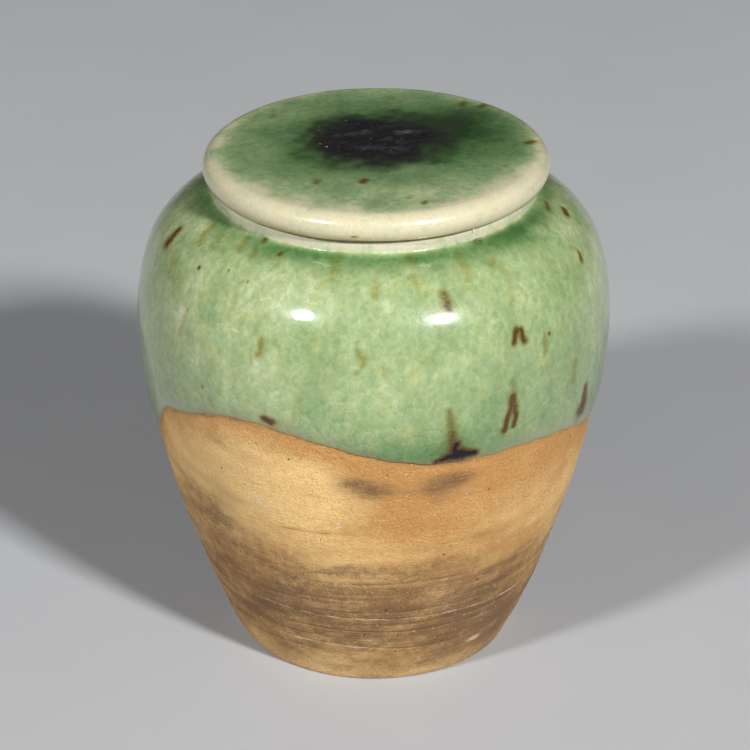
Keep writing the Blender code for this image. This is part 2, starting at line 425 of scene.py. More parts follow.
# Smoke has settled low on the jar, in patches: (bearing, height, half width, half height, strength).
smoke_patches = [(-33, 26, 12, 5, 0.26), (-24, 22, 10, 4, 0.16), (-2, 29, 22, 6, 0.26), (14, 23, 22, 5, 0.1),
                 (36, 25, 14, 6, 0.22), (44, 15, 16, 8, 0.22), (24, 14, 14, 4, 0.1), (52, 6, 22, 7, 0.25),
                 (-6, 57.2, 4.6, 2.9, 0.8), (0.5, 56, 4.6, 2.7, 0.72), (15, 55.4, 5.4, 3, 0.85),
                 (21.5, 57.2, 4.4, 2.5, 0.7), (-8, 35, 4, 1.6, 0.4), (-52, 38, 20, 11, 0.46),
                 (-18, 37, 9, 2.5, 0.22), (6, 34, 12, 2, 0.18), (-36, 60, 9, 4, 0.28), (95, 30, 26, 9, 0.3),
                 (150, 22, 30, 8, 0.35), (-150, 28, 24, 9, 0.25), (-100, 20, 20, 8, 0.3),
                 (170, 48, 10, 3, 0.4), (2, 19, 34, 8, 0.14), (54, 8, 32, 12, 0.06), (-54, 46, 26, 9, 0.12),
                 (-30, 4, 40, 8, -0.14)]
# Below about 42 mm the clay darkens steadily towards the bottom, a little unevenly.
low_zone = unit((42 + 3 * ripples(still * (1, 1, 2), 26, 8) - height) / 23)
stain = low_zone * (0.76 + 0.07 * ripples(still, 13, 13) + 0.09 * ripples(still * (1, 1, 1.6), 6, 14))
stain += patches(bearing, height, *smoke_patches) - 0.34 * outside * bell(height, 0, 7.5)
stain += 0.1 * ripples(still * (1, 1, 3), 14, 9) + 0.9 * ring_stain * (0.8 + 0.5 * ripples(still, 6, 10))
stain = np.where(outside, stain, 0.1 + 0.2 * ripples(still, 16, 12))
dust = ring_dust * (0.8 + 0.5 * ripples(still, 5, 11)) + 0.4 * bell(height, 0, 8) * outside
dust += 1.1 * patches(bearing, height, (-30.5, 49.9, 1.6, 0.9, 1), (-28.6, 49.0, 0.9, 0.6, 1),
                      (-24.4, 51.6, 1.2, 0.5, 1), (-9.2, 46.2, 1.1, 0.8, 1), (128, 44.0, 1.6, 0.9, 1),
                      (40, 8.0, 3.0, 0.7, 1))

# The clay has flashed orange under the glaze's edge, and toasted dark in a hair line right against it.
to_glaze = np.clip(height_of_line(clay_bearings)[None, :] - height, 0, 80)
stain += outside * 0.55 * bell(to_glaze, 0, 0.55) * (to_glaze > 0)
flash = 0.52 + 0.44 * np.exp(-to_glaze / 5.5)
flash += patches(bearing, height, (15, 55, 26, 12, 0.42), (-38, 54, 20, 10, -0.8), (-18, 56, 13, 7, -0.6))
flash = np.where(outside, flash, 0.3)

jar_clay = turned_piece("jar_clay", around(jar_path, clay_bearings, relief), False,
                        stain=stain, dust=dust, flash=flash)
jar_clay.data.materials.append(stoneware("bare_stoneware"))
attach(jar_clay, "jar")
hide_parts("jar_body")

# ----------------------------------------------------------
# The jar's glaze: a celadon coat under a millimetre thick, poured over the shoulder and left to run. It is
# thin and pale on the collar, pools deep green in the groove below it, and stops in a rolled, wavy edge.
# It is crackled all over, and iron in the clay has bled through it in brown spots, streaks and one blot.
# ----------------------------------------------------------
COAT = 0.75
COAT_TOP = LIP_HEIGHT - 0.1
EDGE_ROLL = 0.45
CRACKLE_RADIUS = 48.0
BLISTER_BEARING, HAIR_CRACK_BEARING = 36.9, 35.7


def quarter_round(values):
    """Quarter circle that rises from 0 to 1: sqrt(1 - (1 - v)^2), with v kept from 0 to 1."""
    return np.sqrt(unit(1 - (1 - unit(values)) ** 2))


def eased(values):
    """Smooth step: 3 v^2 - 2 v^3, with v kept from 0 to 1."""
    values = unit(values)
    return values ** 2 * (3 - 2 * values)


front_bearings = np.radians(np.linspace(-88, 88, 350, endpoint=False))
back_bearings = np.radians(np.linspace(88, 272, 130, endpoint=False))
coat_bearings = np.concatenate((front_bearings, back_bearings))
fringe = height_of_line(coat_bearings) + 0.1 * np.sin(41 * coat_bearings + 2)
fringe += 0.18 * np.sin(17 * coat_bearings + 1) * np.sin(5 * coat_bearings)

# Rows climb from the edge: close together over the rolled edge, then evenly to the groove and up the collar.
climb = np.concatenate((EDGE_ROLL * (1 - np.cos(np.linspace(0, math.pi / 2, 7))), np.linspace(0.75, 5.0, 14)))
body_rows = np.linspace(0, 1, 124)[1:]
collar_rows = np.vstack((collar_side(LIP_HEIGHT - LIP_ROUND - 0.05, 6),
                         arc((COLLAR_RADIUS - LIP_ROUND, LIP_HEIGHT - LIP_ROUND), LIP_ROUND, 0, 52, 4)))
low = fringe[None, :] + climb[:, None]
high = low[-1] + (GROOVE_HEIGHT - low[-1]) * body_rows[:, None]
heights = np.vstack((low, high))
radii = np.interp(heights, jar_wall[:, 1], jar_wall[:, 0])
slope = np.gradient(jar_wall[:, 0], jar_wall[:, 1])
wall_length = np.concatenate(([0.0], np.cumsum(np.linalg.norm(np.diff(jar_wall, axis=0), axis=1))))
lean = np.clip(np.interp(heights, jar_wall[:, 1], slope), -1.9, 1.9)
side = 1 / np.sqrt(1 + lean ** 2)
collar_normals = normals_of(collar_rows)
columns = np.ones((1, len(coat_bearings)))
radii = np.vstack((radii, collar_rows[:, :1] * columns))
heights = np.vstack((heights, collar_rows[:, 1:] * columns))
out_r = np.vstack((side, collar_normals[:, :1] * columns))
out_z = np.vstack((-lean * side, collar_normals[:, 1:] * columns))
bearing = np.broadcast_to(coat_bearings, radii.shape)
still = np.stack((radii * np.sin(bearing), -radii * np.cos(bearing), heights), axis=-1)
above_edge = heights - fringe
turn = (bearing + math.pi) % TURN - math.pi
sideways = np.degrees(turn)
roll = quarter_round(above_edge / EDGE_ROLL)
top_fade = np.maximum(quarter_round((COAT_TOP - heights) / 0.7), math.sqrt(0.03))

# How deep the glaze lies, 0 at its thinnest and 1 where it pools, with painted shade deepening it round the
# sides: it sets the colour and some thickness.
surface_length = np.interp(heights, jar_wall[:, 1], wall_length) + np.clip(heights - GROOVE_HEIGHT, 0, 9)
past_groove = surface_length - wall_length[-1]
below = np.clip(-past_groove, 0, 99)
streaky = ripples(still * (1, 1, 0.3), 8, 21)
pool = 0.4 * bell(below, 1.2, 2.6 + 0.6 * streaky) * (1 + 0.25 * ripples(still, 26, 25))
pool += 0.12 * bell(sideways, -50, 21) * bell(below, 3.0, 3.6 + 1.0 * streaky)
pool += 0.16 * bell(sideways, 38, 24) * bell(below, 3.5, 3.0)
depth = 0.31 + pool + 0.03 * streaky + 0.04 * ripples(still * (1, 1, 0.5), 20, 22)
# The first term deepens the glaze below 88 mm; the second is painted shade, deepening and so darkening it
# from 50 degrees either side of the front.
depth += 0.13 * unit((88 - heights) / 22) + 0.05 * unit((np.abs(sideways) - 50) / 60)
depth += patches(bearing, heights, (9, 64, 21, 4.2, 0.38), (36, 78, 26, 26, 0.09), (8, 90, 22, 7, 0.07),
                 (-38, 72, 18, 12, -0.05), (-85, 57, 26, 5, 0.16), (102, 58, 30, 5, 0.22),
                 (-150, 60, 26, 5, 0.24))
collar_zone = eased((heights - LIP_HEIGHT + 3.95) / 1.9)
depth = depth * (1 - collar_zone) + (0.07 + 0.04 * streaky) * collar_zone
veil = bell(np.clip(above_edge, 0, 50), 0, 3.4) * (1 - patches(bearing, heights, (9, 63, 22, 7, 0.9)))

# Iron marks: (bearing, height) where each starts, (bearing, height) where it ends, the half width in mm at
# each end, and the strength: under 0.5 a tan smear, over 0.9 nearly black.
iron_marks = [
    (18.7, 96, 18.9, 93.8, 0.8, 1.1, 0.72), (19, 94.4, 19, 93.6, 0.6, 0.7, 1),
    (35.9, 87.5, 34.8, 85.2, 0.62, 0.6, 1), (37.2, 87.1, 37.8, 85, 0.56, 0.7, 1),
    (36, 87.6, 37, 87.4, 0.46, 0.5, 0.8),
    (44.5, 84.6, 44.2, 81.3, 0.3, 0.75, 0.55), (45.9, 84.4, 45.9, 84.3, 0.36, 0.36, 1),
    (33.6, 74.4, 32.6, 70.4, 0.78, 0.66, 0.9), (32.6, 70.4, 31.7, 67, 0.6, 0.7, 1),
    (33.6, 74.4, 34.7, 70.1, 0.78, 0.7, 0.9), (34.7, 70.1, 34.4, 67.5, 0.68, 0.6, 0.98),
    (33.6, 77.4, 33.5, 74.6, 0.6, 1, 0.5), (61, 67.7, 61.3, 64.3, 0.8, 1.4, 1),
    (61.3, 64.3, 60.6, 62.6, 1.5, 1.9, 1.05), (60.4, 62.9, 59.2, 61.9, 0.9, 0.5, 0.85),
    (54.5, 75.6, 54.2, 71.8, 0.7, 0.9, 0.5),
    (37.6, 94.5, 36.8, 92.2, 0.7, 0.7, 0.36), (15.9, 91.5, 15.9, 89.2, 0.6, 0.6, 0.36),
    (23.6, 83, 23.6, 82.5, 0.8, 0.9, 0.36), (13.9, 85.9, 13.9, 85.3, 1, 1, 0.33),
    (14.6, 62.5, 17, 63.1, 0.7, 0.95, 1.35), (17, 63.1, 20.5, 63.6, 1, 1.35, 1.5),
    (20.5, 63.6, 24, 63.5, 1.15, 0.75, 1.38), (19, 64.4, 19.2, 66.3, 1.2, 0.7, 1.25),
    (17.3, 74, 18, 69, 0.6, 1.1, 0.62), (18, 69, 19, 65.2, 1.15, 1.9, 0.78),
    (16.4, 66.6, 15, 63.6, 0.9, 1.3, 0.42), (-26.1, 70.9, -24.4, 70.5, 0.8, 0.9, 0.95),
    (-23.9, 70.3, -22.6, 69.9, 0.5, 0.6, 0.3),
    (-73.6, 96.8, -73.6, 94.3, 0.9, 1.25, 0.92), (-66, 93.8, -62.4, 91.3, 0.9, 1, 0.42),
    (-53.5, 94.9, -53.5, 94.8, 0.38, 0.38, 1), (-31.1, 100.1, -31.1, 100, 0.5, 0.5, 0.95),
    (-39.5, 101.2, -39.5, 101, 0.55, 0.6, 0.8), (-35.6, 95.8, -35.6, 95.7, 0.26, 0.26, 0.8),
    (-43.4, 96.4, -43.4, 96.3, 0.26, 0.26, 0.8), (-59.3, 97.5, -59.3, 97.4, 0.26, 0.26, 0.8),
    (-51.4, 87.6, -52.7, 82.3, 0.35, 0.55, 0.5), (-27.4, 87.4, -27.8, 84.2, 0.4, 0.6, 0.62),
    (-30.1, 84.8, -29.9, 83.4, 0.45, 0.55, 0.4), (-12.2, 98.4, -12.2, 98.1, 0.7, 0.8, 0.4),
    (-37.5, 93.2, -36.6, 91.3, 0.45, 0.55, 0.36), (-3.5, 87.2, -2.5, 85, 0.45, 0.6, 0.55),
    (2.2, 83.6, 2.2, 83, 1, 1.1, 0.4), (0.5, 98.2, 0.5, 96.2, 0.5, 0.6, 0.45),
    (-4.1, 83.1, -4.1, 83, 0.4, 0.4, 0.55), (-41.1, 71.2, -41, 70.6, 0.6, 0.7, 0.42),
    (-43.5, 73.7, -43.5, 73.6, 0.3, 0.3, 0.8), (-17.5, 77, -17.5, 73.8, 0.6, 0.8, 0.34),
    (80.4, 100.2, 77, 99.8, 0.5, 0.6, 0.75), (83.4, 98.4, 81, 97.9, 0.6, 0.7, 0.95),
    (69.8, 93.6, 68.4, 92.3, 0.5, 0.6, 0.8), (37.3, 98.8, 36.2, 98.2, 0.6, 0.6, 0.45),
    (66.5, 75.2, 67.2, 70.8, 0.6, 0.8, 0.42), (27.3, 100.2, 27.2, 98.6, 0.6, 0.7, 0.42),
    (-40, 100, -39, 99, 0.5, 0.7, 0.42), (-30.4, 99.4, -30, 98.4, 0.5, 0.6, 0.36),
    (-63, 99.8, -61, 98, 0.5, 0.8, 0.5), (-55, 99.4, -54, 98.2, 0.5, 0.6, 0.45),
    (-46, 100.6, -45, 99.2, 0.6, 0.8, 0.5), (-12, 99.8, -12, 98.9, 0.5, 0.6, 0.42),
    (11.6, 98.6, 12, 97.6, 0.5, 0.6, 0.45), (27, 98.9, 27.3, 97.4, 0.5, 0.7, 0.42),
    (38, 97.6, 38.4, 96.4, 0.5, 0.7, 0.45),
    (66.4, 99.1, 66.2, 98.7, 0.6, 0.6, 0.42), (12, 100.9, 12, 100, 0.9, 0.9, 0.5),
    (36.5, 101.7, 36.5, 101.5, 0.6, 0.65, 0.7), (-12, 101.4, -12, 100.2, 0.8, 0.9, 0.45)]
unseen = np.random.default_rng(7)
for place, level, run, width, strength in zip(
        unseen.uniform(95, 265, 34), unseen.uniform(66, 99, 34), unseen.uniform(0.1, 4.5, 34),
        unseen.uniform(0.35, 0.95, 34), unseen.uniform(0.35, 1.0, 34)):
    iron_marks.append((place, level, place + 0.3, level - run, width, width * 1.2, strength))


def distance_to_stroke(across, along, stroke):
    """Distance in half widths from points to a tapered stroke: to the nearest point on its middle line."""
    ax, ay, bx, by, start_width, end_width = stroke
    run = unit(((across - ax) * (bx - ax) + (along - ay) * (by - ay))
                  / max((bx - ax) ** 2 + (by - ay) ** 2, 1e-9))
    gap = np.hypot(across - ax - run * (bx - ax), along - ay - run * (by - ay))
    return gap / (start_width + run * (end_width - start_width))


# A pinhole with a raised ring in the groove, and a hair crack up the collar above it.
blister = np.hypot(np.radians(sideways - BLISTER_BEARING) * 33.9, past_groove + 0.1)
hair_crack = bell(sideways, HAIR_CRACK_BEARING, 0.4) * unit((heights - LIP_HEIGHT + 2.6) / 1.5)
iron = np.zeros(radii.shape)
iron_wander = 0.13 * ripples(still, 2.4, 26)
for start_bearing, start_height, end_bearing, end_height, start_width, end_width, strength in iron_marks:
    off = degrees_off(bearing, start_bearing)
    near = (np.abs(off) < 16) & (np.abs(heights - start_height) < 18)
    broad = 1.35 if strength > 0.7 else 1.75
    start_radius, start_length, end_length = [np.interp(level, jar_wall[:, 1], values) for level, values in (
        (start_height, jar_wall[:, 0]), (start_height, wall_length), (end_height, wall_length))]
    stroke = (0.0, 0.0, math.radians(end_bearing - start_bearing) * start_radius, end_length - start_length,
              broad * start_width, broad * end_width)
    along = surface_length[near] - start_length
    gap = distance_to_stroke(np.radians(off[near]) * start_radius + iron_wander[near], along, stroke)
    iron[near] = np.maximum(iron[near], strength * np.exp(-0.75 * gap ** 2))
iron = np.maximum(iron, 0.78 * np.exp(-(blister / 1.2) ** 4) * (1 - 0.8 * bell(blister, 0.3, 0.35)))
iron = np.maximum(iron, 0.55 * hair_crack)

# The crackle is laid out on a rolled-out wall: bearing across, and climb along, scaled so that cells keep
# their shape. One layout has its seam behind and one in front, and the material fades between them.
climbed = np.concatenate((np.zeros((1, radii.shape[1])), np.cumsum(
    np.hypot(np.diff(radii, axis=0), np.diff(heights, axis=0)) * CRACKLE_RADIUS / radii[1:], axis=0)))
climbed -= climbed[len(climb) + len(body_rows) - 1]
front_layout = np.stack((CRACKLE_RADIUS * turn, climbed, 0 * turn), axis=-1)
back_layout = np.stack((CRACKLE_RADIUS * (bearing % TURN) + 400, climbed, 0 * turn), axis=-1)
behind = unit((np.abs(sideways) - 100) / 16)

run_front = patches(bearing, heights, (13, 63, 20, 9, 1))
swell = unit(above_edge / (5.5 - 4.0 * run_front))
swell = 0.26 + 0.34 * run_front + (0.74 - 0.34 * run_front) * swell * (2 - swell)
thick = COAT * roll * top_fade * swell * (0.94 + 0.08 * unit(depth) + 0.012 * ripples(still, 9, 23))
thick += 0.35 * np.clip(iron - 1.0, 0, 0.4) * (1 + 1.2 * ripples(still, 1.9, 24))
thick += 0.3 * bell(blister, 0.85, 0.35) - 0.62 * bell(blister, 0, 0.55)
thick -= 0.1 * bell(past_groove, 0.6, 1.0) + 0.25 * hair_crack
clay_stands = thrown_relief(still) * under_collar(heights)
filled = 0.16 * ripples(still, 34, 3) * under_collar(heights)
near_edge = np.exp(-np.clip(above_edge, 0, 50) / 1.5)
outer = clay_stands * near_edge + (0.85 * filled + 0.12 * clay_stands) * (1 - near_edge) + thick - 0.05
inner_rows = np.linspace(len(radii) - 1, 0, 26).astype(int)
inner = (clay_stands - 0.3)[inner_rows]
all_r = np.vstack((radii + out_r * outer, radii[inner_rows] + out_r[inner_rows] * inner))
all_z = np.vstack((heights + out_z * outer, heights[inner_rows] + out_z[inner_rows] * inner))
all_bearing = np.broadcast_to(coat_bearings, all_r.shape)
coat_points = np.stack((all_r * np.sin(all_bearing), -all_r * np.cos(all_bearing), all_z), axis=-1)


def with_inner(values):
    """Values for the outer rows, repeated on the rows that lie against the clay."""
    return np.concatenate((values, values[inner_rows]))


def crackle(glaze, layout):
    """Crackle lines, 0 to 1: long cracks round large cells, and a finer net that breaks off against them.

    Also gives a value for each fine cell, which tints it a little, and the swell of the glaze between cracks.
    """
    sway = glaze.noise(0.35, 2.0, at=layout, colour=True)
    sway = glaze.vector("SCALE", glaze.vector("SUBTRACT", sway, (0.5, 0.5, 0.5)), scale=1.7)
    bent = glaze.vector("ADD", layout, sway)
    large = glaze.cells(0.2, at=bent, feature="DISTANCE_TO_EDGE", dimensions="2D")
    which = glaze.cells(0.2, at=bent, output="Color", dimensions="2D")
    shifted = glaze.vector("ADD", bent, glaze.vector("SCALE", which, scale=60.0))
    small = glaze.cells(0.66, at=shifted, feature="DISTANCE_TO_EDGE", dimensions="2D")
    patchy = glaze.step(glaze.noise(0.16, 3.0, at=layout), 0.34, 0.64, 0.3, 1.0)
    strong = glaze.times(glaze.step(large, 0.002, 0.016, 1.0, 0.0), patchy)
    fine = glaze.times(glaze.step(small, 0.006, 0.05, 1.0, 0.0), patchy)
    tint = glaze.cells(0.66, at=shifted, output="Color", dimensions="2D")
    swell = glaze.plus(glaze.step(large, 0.0, 0.1, 0.0, 0.7), glaze.step(small, 0.0, 0.2, 0.0, 0.6))
    return glaze.math("MAXIMUM", strong, glaze.times(fine, 0.75)), tint, swell


def celadon(name, layouts, stops, uneven, lines):
    """Glossy crackled glaze: colour by depth, iron bled through it, a grey veil at its edge, a clear coat."""
    glaze = Recipe(name)
    fine = glaze.noise(0.8, 4.0, 0.65)
    cloud = glaze.noise(0.13, 3.0, 0.6)
    runs = glaze.noise(1.0, 3.0, 0.65, at=glaze.stretched(0.42, 0.42, 0.17))
    crackled = crackle(glaze, glaze.place(layouts[0]))
    if len(layouts) > 1:
        far = glaze.mark("behind")
        crackled = [glaze.plus(glaze.times(seen, glaze.math("SUBTRACT", 1.0, far)),
                               glaze.times(hidden, far))
                    for seen, hidden in zip(crackled, crackle(glaze, glaze.place(layouts[1])))]
    cracks, tint, swell = crackled
    deep = glaze.mark("depth")
    for change, amount in ((cloud, 0.15), (runs, 0.36), (fine, 0.34), (tint, 0.12)):
        deep = glaze.plus(deep, glaze.centred(change, amount * uneven))
    colour = glaze.ramp(deep, stops)
    not_thin = glaze.step(glaze.mark("depth"), 0.12, 0.34, 0.25, 1.0)
    honeyed = glaze.noise(1.0, 3.0, 0.6, at=glaze.stretched(0.36, 0.36, 0.15))
    honey = glaze.step(honeyed, 0.48, 0.72, 0.0, 0.62)
    colour = glaze.mix(glaze.times(honey, not_thin), colour, (1.14, 1.0, 0.78), "MULTIPLY")
    elsewhere = glaze.vector("ADD", glaze.mm, (70.0, 0.0, 0.0))
    cool = glaze.step(glaze.noise(0.3, 3.0, at=elsewhere), 0.48, 0.7, 0.0, 0.6)
    colour = glaze.mix(glaze.times(cool, not_thin), colour, (0.86, 0.97, 0.98), "MULTIPLY")
    colour = glaze.mix(glaze.times(glaze.mark("veil"), 0.55), colour, (0.275, 0.28, 0.165))
    shown = glaze.times(cracks, glaze.step(glaze.mark("depth"), 0.0, 0.5, 0.5 * lines, lines))
    shown = glaze.times(shown, glaze.math("MULTIPLY_ADD", glaze.mark("scales"), 0.7, 0.9))
    colour = glaze.mix(shown, colour, (1.42, 1.36, 1.5), "MULTIPLY")
    ragged = glaze.centred(glaze.noise(1.3, 4.0, 0.7), 0.6)
    iron = glaze.mark("iron")
    bled = glaze.plus(iron, glaze.times(ragged, glaze.step(iron, 0.05, 1.2, 0.0, 1.6)))
    colour = glaze.mix(glaze.step(bled, 0.1, 0.6, 0.0, 0.85), colour, (0.76, 0.62, 0.34), "MULTIPLY")
    colour = glaze.mix(glaze.step(bled, 0.42, 0.92, 0.0, 0.95), colour, (0.078, 0.028, 0.007))
    colour = glaze.mix(glaze.step(bled, 0.98, 1.18), colour, (0.008, 0.006, 0.007))
    peel = glaze.relief(glaze.noise(0.4, 2.0), 0.02)
    scales = glaze.math("MULTIPLY_ADD", glaze.mark("scales"), 1.6, 0.45)
    embossed = glaze.relief(glaze.times(swell, scales), 0.034 * lines, peel)
    clear = glaze.times(glaze.step(iron, 0.35, 1.1, 1.0, 0.15),
                       glaze.math("MULTIPLY_ADD", glaze.mark("dull"), -0.75, 1.0))
    return glaze, colour, peel, embossed, clear


jar_stops = [(0.0, (0.6, 0.57, 0.42)), (0.13, (0.5, 0.52, 0.34)), (0.28, (0.32, 0.4, 0.195)),
             (0.42, (0.235, 0.315, 0.14)), (0.56, (0.172, 0.252, 0.104)), (0.72, (0.105, 0.195, 0.068)),
             (0.92, (0.05, 0.13, 0.036))]
jar_marks = {"depth": depth, "iron": iron, "above": above_edge, "veil": veil, "behind": behind,
             "scales": patches(bearing, heights, (0, 67.5, 42, 8, 1)), "dull": bell(past_groove, -0.6, 1.4),
             "front_layout": front_layout, "back_layout": back_layout}
jar_glaze = turned_piece("jar_celadon", coat_points, True,
                         **{mark: with_inner(values) for mark, values in jar_marks.items()})
glaze, colour, peel, embossed, clear = celadon(
    "celadon_crackle", ["front_layout", "back_layout"], jar_stops, 1.0, 0.75)
skirt = glaze.plus(glaze.mark("above"), glaze.centred(glaze.noise(0.8, 4.0, 0.75), 3.6))
colour = glaze.mix(glaze.step(skirt, 0.1, 1.5, 0.62, 0.0), colour, (0.31, 0.205, 0.095))
clear = glaze.times(clear, glaze.step(skirt, 0.1, 1.3))
jar_glaze.data.materials.append(glaze.finish(Base_Color=colour, Roughness=0.36, Specular_IOR_Level=0.24,
                                             Coat_Weight=clear, Coat_Roughness=0.13, Normal=embossed,
                                             Coat_Normal=peel))
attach(jar_glaze, "jar")
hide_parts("jar_glaze")

# ----------------------------------------------------------
# The lid's clay: a thrown disc about five millimetres thick with a ring turned under it, which drops into
# the mouth and keeps the lid centred. It is bare underneath, and rests on the jar's bare lip.
# ----------------------------------------------------------
RING_DEPTH = 7.0
LID_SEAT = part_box("lid_body")[0].z / MM + RING_DEPTH
LID_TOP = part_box("lid_body")[1].z / MM
LID_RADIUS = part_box("lid_body")[1].x / MM
LID_SEAT_RADIUS = LID_RADIUS - 2.2
LID_ROUND = 2.4
LID_WIDEST = LID_TOP - LID_ROUND
RING_OUTER, RING_INNER, RING_ROUND = 28.2, 24.2, 0.9
RING_FOOT = LID_SEAT - RING_DEPTH
LID_SHIFT = 0.45
LID_TILT_RIGHT, LID_TILT_BACK = 0.007, 0.005


def lid_side(start, steps):
    """The lid's rounded side: a slack quarter curve up from the seat, then a tighter one on to the top."""
    lower = arc((LID_SEAT_RADIUS, LID_WIDEST), (LID_RADIUS - LID_SEAT_RADIUS, LID_WIDEST - LID_SEAT),
                start, 0, steps)
    upper = arc((LID_RADIUS - LID_ROUND, LID_WIDEST), LID_ROUND, 0, 90, steps)
    return np.vstack((lower, upper[1:]))


def seated(points):
    """The loose lid lies a touch to the right, and rises by small slopes towards +X and +Y."""
    rise = LID_TILT_RIGHT * points[..., 0] + LID_TILT_BACK * points[..., 1] + 0.05
    return points + np.stack((0 * rise + LID_SHIFT, 0 * rise, rise), axis=-1)


recess = straight((0, LID_SEAT), (RING_INNER - 1.0, LID_SEAT), 40)
ring = np.vstack((arc((RING_INNER - 1.0, LID_SEAT - 1.0), 1.0, 90, 0, 5)[1:],
                  straight((RING_INNER, LID_SEAT - 1.3), (RING_INNER, RING_FOOT + 1.2), 10),
                  arc((RING_INNER + RING_ROUND, RING_FOOT + RING_ROUND), RING_ROUND, 180, 270, 5),
                  arc((RING_OUTER - RING_ROUND, RING_FOOT + RING_ROUND), RING_ROUND, 270, 360, 5),
                  straight((RING_OUTER, RING_FOOT + 1.2), (RING_OUTER, LID_SEAT - 0.5), 10),
                  arc((RING_OUTER + 0.4, LID_SEAT - 0.4), 0.4, 180, 90, 3),
                  straight((RING_OUTER + 0.9, LID_SEAT), (LID_SEAT_RADIUS - 0.5, LID_SEAT), 8)))
cap = straight((LID_RADIUS - LID_ROUND - 1.0, LID_TOP), (0, LID_TOP), 12)
lid_path = np.vstack((recess, ring, lid_side(-90, 12), cap))
lid_bearings = np.linspace(0, TURN, 288, endpoint=False)
still = around(lid_path, lid_bearings)
in_recess = (np.arange(len(lid_path)) < len(recess))[:, None] * unit(lid_path[:, :1] / 3)
spiral = np.cos(TURN * lid_path[:, :1] / 4.2 - lid_bearings)
relief = 0.12 * in_recess * unit((RING_INNER - 2 - lid_path[:, :1]) / 3) * spiral
seat_edge = bell(still[..., 2], LID_SEAT + 0.6, 0.7) * (lid_path[:, :1] > 32)
lid_clay = turned_piece("lid_clay", seated(around(lid_path, lid_bearings, relief)), False,
                        stain=0.15 + 0.2 * ripples(still, 14, 31) + 0.25 * seat_edge,
                        dust=np.full(still.shape[:2], 0.15), flash=0.35 + 0.3 * ripples(still, 20, 32))
lid_clay.data.materials.append(jar_clay.data.materials[0])
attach(lid_clay, "lid")
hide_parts("lid_body")

# ----------------------------------------------------------
# The lid's glaze: the same celadon, drained to a thin cream over the rounded rim and deepening to dark
# green towards the middle. There it is burnt into a rough black scar of slag a little behind the centre,
# wrinkled and pitted, with a sooty smear running off it to the back right.
# ----------------------------------------------------------
LID_COAT = 0.75
LID_COAT_EDGE = -50.0
SCAR_X, SCAR_Y, SCAR_ACROSS, SCAR_ALONG = 0.0, 3.1, 12.9, 12.0

side_path = lid_side(LID_COAT_EDGE, 26)
top_radii = np.concatenate((np.linspace(LID_RADIUS - LID_ROUND, 22, 26)[1:], np.linspace(22, 0.28, 92)[1:],
                            [0.0]))
over_path = np.vstack((side_path, np.column_stack((top_radii, np.full(len(top_radii), LID_TOP)))))
under_rows = np.arange(len(over_path))[::-8]
lid_coat_bearings = np.linspace(0, TURN, 400, endpoint=False)
still = around(over_path, lid_coat_bearings)
x, y, z = still[..., 0], still[..., 1], still[..., 2]
from_centre = np.hypot(x, y)
bearing = np.broadcast_to(lid_coat_bearings, x.shape)

scar_reach = np.hypot((x - SCAR_X) / SCAR_ACROSS, (y - SCAR_Y) / SCAR_ALONG)
scar_reach += 0.09 * ripples(still, 9, 41) + 0.05 * ripples(still, 3.5, 42)
smear = bell((x - 15) * 0.8 + (y - 12) * 0.6, 0, 13) * bell((y - 12) * 0.8 - (x - 15) * 0.6, 0, 7.5)
scar = np.clip(1.36 - scar_reach, -0.2, 1.3)
ember = bell(x, -10.5, 4.0) * bell(y, 2.5, 5.5)
soot = unit(0.42 * smear + 0.1 * ripples(still, 7, 43) * smear)
creep = np.hypot(x - 0.3, y - 1.0) + 1.5 * unit((x - 8) / 24)
creep += 0.5 * ripples(still, 10, 44) + 0.22 * ripples(still, 4, 52)
rim_fade = unit((35.0 - creep) / 7.0)
depth = 0.34 * rim_fade * (2 - rim_fade) + 0.12 * unit((27 - creep) / 10)
depth += 0.26 * np.exp(-np.clip(scar_reach - 1.0, 0, 9) / 0.42) + 0.04 * ripples(still, 10, 45)
for middle_x, middle_y, half_across, half_along, change in (
        (20, 7, 12, 14, 0.33), (0, 19, 18, 9, 0.1), (-15, -12, 9, 8, 0.09), (24, 0, 8, 13, 0.07),
        (-17, 4, 8, 13, 0.12)):
    depth += change * bell(x, middle_x, half_across) * bell(y, middle_y, half_along)
# The smear deepens the glaze; the front of the top is made paler, a painted reflection of the sheen it picks
# up there.
depth += 0.3 * smear - 0.09 * bell(y, -21, 9)
depth = np.where(z < LID_TOP - 0.35, np.minimum(depth, 0.08), depth)
depth = np.clip(depth, 0.02, 1.0)

# Wrinkles in the slag: ridged ripples at three sizes, rising from nothing at the scar's rim.
rough = eased((0.98 - scar_reach) / 0.55)
folds = 1 - 1.9 * np.abs(ripples(still * (0.5, 1.15, 1), 8.0, 46))
folds += 0.35 * (1 - 1.6 * np.abs(ripples(still * (0.6, 1.3, 1), 4.0, 47))) + 0.1 * ripples(still, 1.8, 48)
slag = np.clip(rough * (0.06 + 0.46 * folds), -0.42, 1.0)

